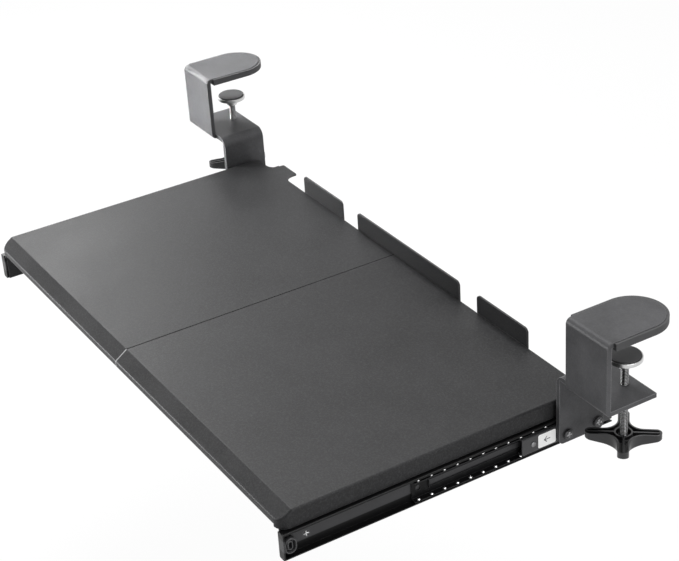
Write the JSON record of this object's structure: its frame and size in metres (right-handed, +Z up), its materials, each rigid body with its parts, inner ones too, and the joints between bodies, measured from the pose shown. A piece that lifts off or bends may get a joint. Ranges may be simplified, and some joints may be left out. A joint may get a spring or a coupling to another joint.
{
  "type": "under-desk keyboard tray",
  "caption": "Pull-out keyboard tray of bent black sheet steel on ball slides, hung under a desk by screw clamps with rounded tongues, soft pads and star knobs.",
  "frame": {"origin": "midway between the clamps, where the desk's upper face meets its front edge", "axes": "+X along the desk's edge to the right seen from the front, +Y in under the desk, +Z up"},
  "size_m": [0.6508, 0.3016, 0.1235],
  "materials": {
    "black_steel": "fine matte powder coat",
    "slide_steel": "satin black electrocoat",
    "black_screws": "semi-gloss black",
    "zinc_steel": "bright zinc",
    "bright_balls": "polished",
    "pad_rubber": "matte",
    "knob_plastic": "satin moulded",
    "stop_plastic": "satin moulded",
    "marker_paper": "plain white label"
  },
  "bodies": {
    "clamps": {"left_clamp_frame": "black_steel", "left_tongue_pad": "pad_rubber", "left_clamp_nut": "zinc_steel", "left_inner_rail": "slide_steel", "left_bracket_screw_front": "black_screws", "left_bracket_screw_rear": "black_screws", "left_bracket_nuts": "zinc_steel", "left_rail_rivet": "black_screws", "left_marker_label": "marker_paper", "right_clamp_frame": "black_steel", "right_tongue_pad": "pad_rubber", "right_clamp_nut": "zinc_steel", "right_inner_rail": "slide_steel", "right_bracket_screw_front": "black_screws", "right_bracket_screw_rear": "black_screws", "right_bracket_nuts": "zinc_steel", "right_rail_rivet": "black_screws", "right_marker_label": "marker_paper"},
    "platform": {"rear_joining_bracket": "black_steel", "front_joining_plate": "black_steel", "rear_joining_nuts": "zinc_steel", "front_joining_nuts": "zinc_steel", "left_tray_half": "black_steel", "left_rail_angle": "black_steel", "left_angle_nuts": "zinc_steel", "left_outer_rail": "slide_steel", "left_front_stop": "stop_plastic", "left_rail_screw_front": "black_screws", "left_rail_screw_middle": "black_screws", "left_rail_screw_rear": "black_screws", "left_rail_nuts": "zinc_steel", "right_tray_half": "black_steel", "right_rail_angle": "black_steel", "right_angle_nuts": "zinc_steel", "right_outer_rail": "slide_steel", "right_front_stop": "stop_plastic", "right_rail_screw_front": "black_screws", "right_rail_screw_middle": "black_screws", "right_rail_screw_rear": "black_screws", "right_rail_nuts": "zinc_steel"},
    "left_cage": {"left_ball_cage": "slide_steel", "left_balls": "bright_balls"},
    "left_foot": {"left_pressure_cup": "zinc_steel", "left_foot_pad": "pad_rubber"},
    "left_screw": {"left_clamp_screw": "zinc_steel", "left_knob": "knob_plastic"},
    "right_cage": {"right_ball_cage": "slide_steel", "right_balls": "bright_balls"},
    "right_foot": {"right_pressure_cup": "zinc_steel", "right_foot_pad": "pad_rubber"},
    "right_screw": {"right_clamp_screw": "zinc_steel", "right_knob": "knob_plastic"}
  },
  "joints": [
    {"name": "platform_slide", "type": "slide", "parent": "clamps", "child": "platform", "axis": [0, 1, 0], "range_m": [0, 0.1935]},
    {"name": "left_cage_slide", "type": "slide", "parent": "clamps", "child": "left_cage", "axis": [0, 1, 0], "range_m": [0, 0.0968]},
    {"name": "left_foot_slide", "type": "slide", "parent": "clamps", "child": "left_foot", "axis": [0, 0, 1], "range_m": [-0.0145, 0.0104]},
    {"name": "left_knob_turn", "type": "hinge", "parent": "left_foot", "child": "left_screw", "pos_m": [-0.29875, 0.0321, -0.0985], "axis": [0, 0, 1], "range_deg": [-5221, 3745]},
    {"name": "right_cage_slide", "type": "slide", "parent": "clamps", "child": "right_cage", "axis": [0, 1, 0], "range_m": [0, 0.0968]},
    {"name": "right_foot_slide", "type": "slide", "parent": "clamps", "child": "right_foot", "axis": [0, 0, 1], "range_m": [-0.0145, 0.0104]},
    {"name": "right_knob_turn", "type": "hinge", "parent": "right_foot", "child": "right_screw", "pos_m": [0.29875, 0.0321, -0.0985], "axis": [0, 0, 1], "range_deg": [-5221, 3745]}
  ],
  "couplings": [
    {"joint": "left_cage_slide", "follows": "platform_slide", "ratio": 0.5},
    {"joint": "left_knob_turn", "follows": "left_foot_slide", "rad_per_m": 6283.2},
    {"joint": "right_cage_slide", "follows": "platform_slide", "ratio": 0.5},
    {"joint": "right_knob_turn", "follows": "right_foot_slide", "rad_per_m": 6283.2}
  ]
}
